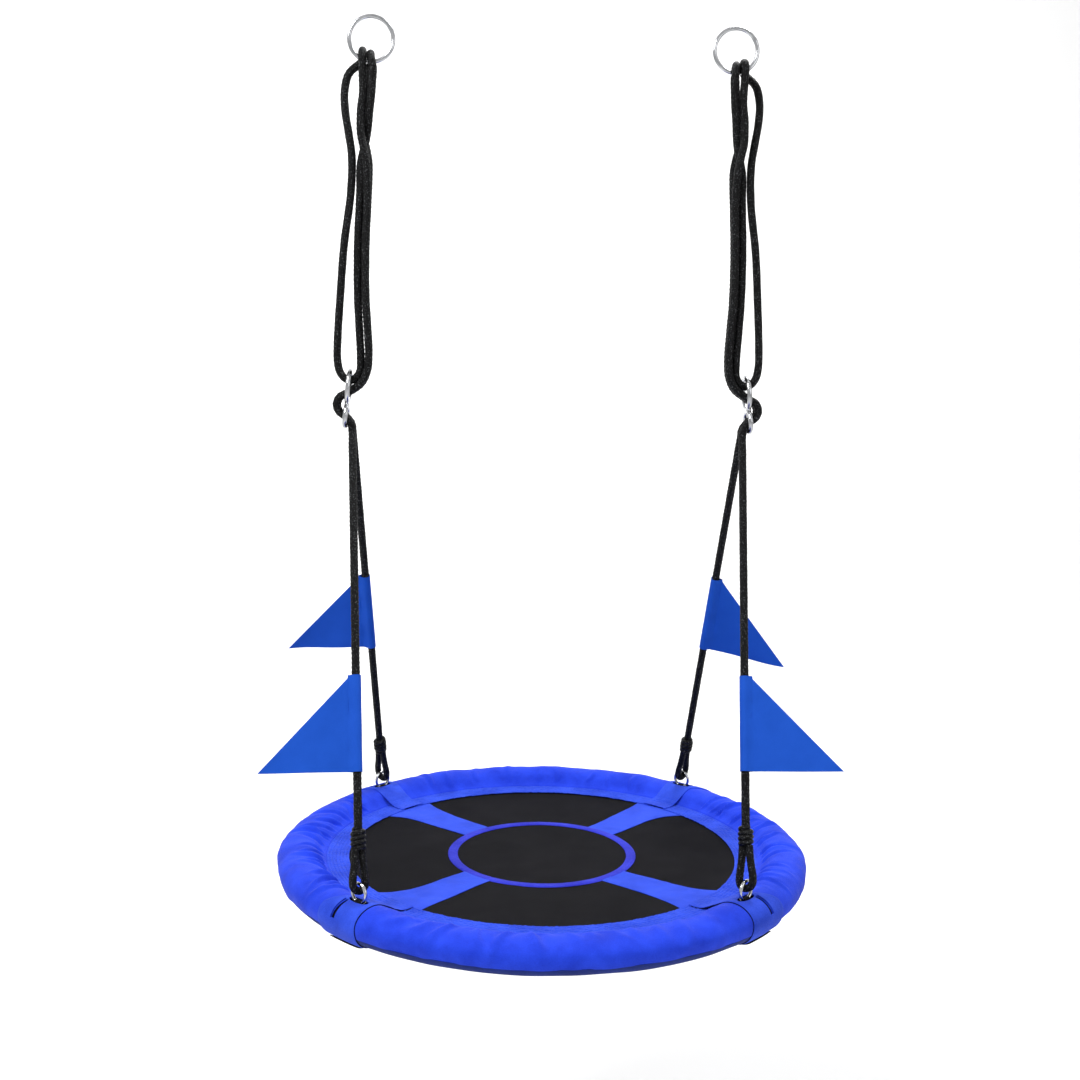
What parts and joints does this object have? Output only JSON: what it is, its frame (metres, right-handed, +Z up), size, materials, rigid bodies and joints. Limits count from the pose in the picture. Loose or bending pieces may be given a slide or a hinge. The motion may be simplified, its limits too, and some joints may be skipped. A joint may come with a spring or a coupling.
{
  "type": "saucer nest swing",
  "caption": "Round padded nest seat with a fabric deck, hung by adjustable rope bridles from two steel rings.",
  "frame": {"origin": "hang point: midway between the two top rings, on the line where their inner tops bear on the hooks that hold them", "axes": "+Z up; +X from the left rope to the right rope; -Y towards the front of the swing, so it swings along Y"},
  "size_m": [1.0238, 1.015, 1.6095],
  "materials": {
    "polished_steel": "polished stainless rings and adjusters, fine handling scratches",
    "zinc_steel": "zinc-plated frame tube and bolts",
    "rope": "black braided polyester rope",
    "webbing": "black woven webbing",
    "foam": "dark closed-cell foam sleeve",
    "rim_cover": "royal blue woven polyester, matt, sewn",
    "border": "royal blue woven polyester bands with rows of stitching",
    "centre_band": "slightly violet blue woven band",
    "seat": "black coarse woven polyester deck",
    "flag": "bright blue nylon flag cloth"
  },
  "bodies": {
    "hangers": {"left_top_ring": "polished_steel", "right_top_ring": "polished_steel"},
    "rope_turns": {"left_outer_turn": "rope", "left_inner_turn": "rope", "right_outer_turn": "rope", "right_inner_turn": "rope"},
    "left_rope": {"left_rope_bight": "rope", "left_adjuster": "polished_steel", "front_left_strand": "rope", "front_left_leg": "rope", "front_left_eye_knot": "rope", "rear_left_strand": "rope", "rear_left_leg": "rope", "rear_left_eye_knot": "rope"},
    "right_rope": {"right_rope_bight": "rope", "right_adjuster": "polished_steel", "front_right_strand": "rope", "front_right_leg": "rope", "front_right_eye_knot": "rope", "rear_right_strand": "rope", "rear_right_leg": "rope", "rear_right_eye_knot": "rope"},
    "flag_front_left": {"front_left_flag": "flag"},
    "flag_front_right": {"front_right_flag": "flag"},
    "flag_rear_right": {"rear_right_flag": "flag"},
    "flag_rear_left": {"rear_left_flag": "flag"},
    "saucer": {"front_frame_tube": "zinc_steel", "front_frame_bolt": "zinc_steel", "front_foam": "foam", "front_rim_cover": "rim_cover", "right_frame_tube": "zinc_steel", "right_frame_bolt": "zinc_steel", "right_foam": "foam", "right_rim_cover": "rim_cover", "rear_frame_tube": "zinc_steel", "rear_frame_bolt": "zinc_steel", "rear_foam": "foam", "rear_rim_cover": "rim_cover", "left_frame_tube": "zinc_steel", "left_frame_bolt": "zinc_steel", "left_foam": "foam", "left_rim_cover": "rim_cover", "front_left_lower_ring": "polished_steel", "front_left_ring_webbing": "webbing", "front_left_corner_strap": "border", "front_left_spoke": "border", "front_right_lower_ring": "polished_steel", "front_right_ring_webbing": "webbing", "front_right_corner_strap": "border", "front_right_spoke": "border", "rear_right_lower_ring": "polished_steel", "rear_right_ring_webbing": "webbing", "rear_right_corner_strap": "border", "rear_right_spoke": "border", "rear_left_lower_ring": "polished_steel", "rear_left_ring_webbing": "webbing", "rear_left_corner_strap": "border", "rear_left_spoke": "border", "seat_panel": "seat", "centre_ring": "centre_band"}
  },
  "joints": [
    {"name": "swing", "type": "hinge", "parent": "hangers", "child": "rope_turns", "pos_m": [0, 0, -0.0745], "axis": [1, 0, 0], "range_deg": [-45, 45]},
    {"name": "sway_left", "type": "hinge", "parent": "rope_turns", "child": "left_rope", "pos_m": [-0.3535, 0, -0.092], "axis": [0, 1, 0], "range_deg": [-8, 8]},
    {"name": "sway_right", "type": "hinge", "parent": "rope_turns", "child": "right_rope", "pos_m": [0.3535, 0, -0.092], "axis": [0, 1, 0], "range_deg": [-8, 8]},
    {"name": "level", "type": "hinge", "parent": "left_rope", "child": "saucer", "pos_m": [-0.33093, 0, -1.5], "axis": [0, 1, 0], "range_deg": [-9, 9]},
    {"name": "flag_turn_front_left", "type": "hinge", "parent": "left_rope", "child": "flag_front_left", "pos_m": [-0.33093, -0.33093, -1.5], "axis": [-0.0465, 0.3942, 0.9179], "range_deg": [-90, 90]},
    {"name": "flag_turn_front_right", "type": "hinge", "parent": "right_rope", "child": "flag_front_right", "pos_m": [0.33093, -0.33093, -1.5], "axis": [0.0465, 0.3942, 0.9179], "range_deg": [-90, 90]},
    {"name": "flag_turn_rear_right", "type": "hinge", "parent": "right_rope", "child": "flag_rear_right", "pos_m": [0.33093, 0.33093, -1.5], "axis": [0.0465, -0.3942, 0.9179], "range_deg": [-90, 90]},
    {"name": "flag_turn_rear_left", "type": "hinge", "parent": "left_rope", "child": "flag_rear_left", "pos_m": [-0.33093, 0.33093, -1.5], "axis": [-0.0465, -0.3942, 0.9179], "range_deg": [-90, 90]}
  ],
  "couplings": [
    {"joint": "sway_right", "follows": "sway_left", "ratio": 1},
    {"joint": "level", "follows": "sway_left", "ratio": -1.0682}
  ]
}
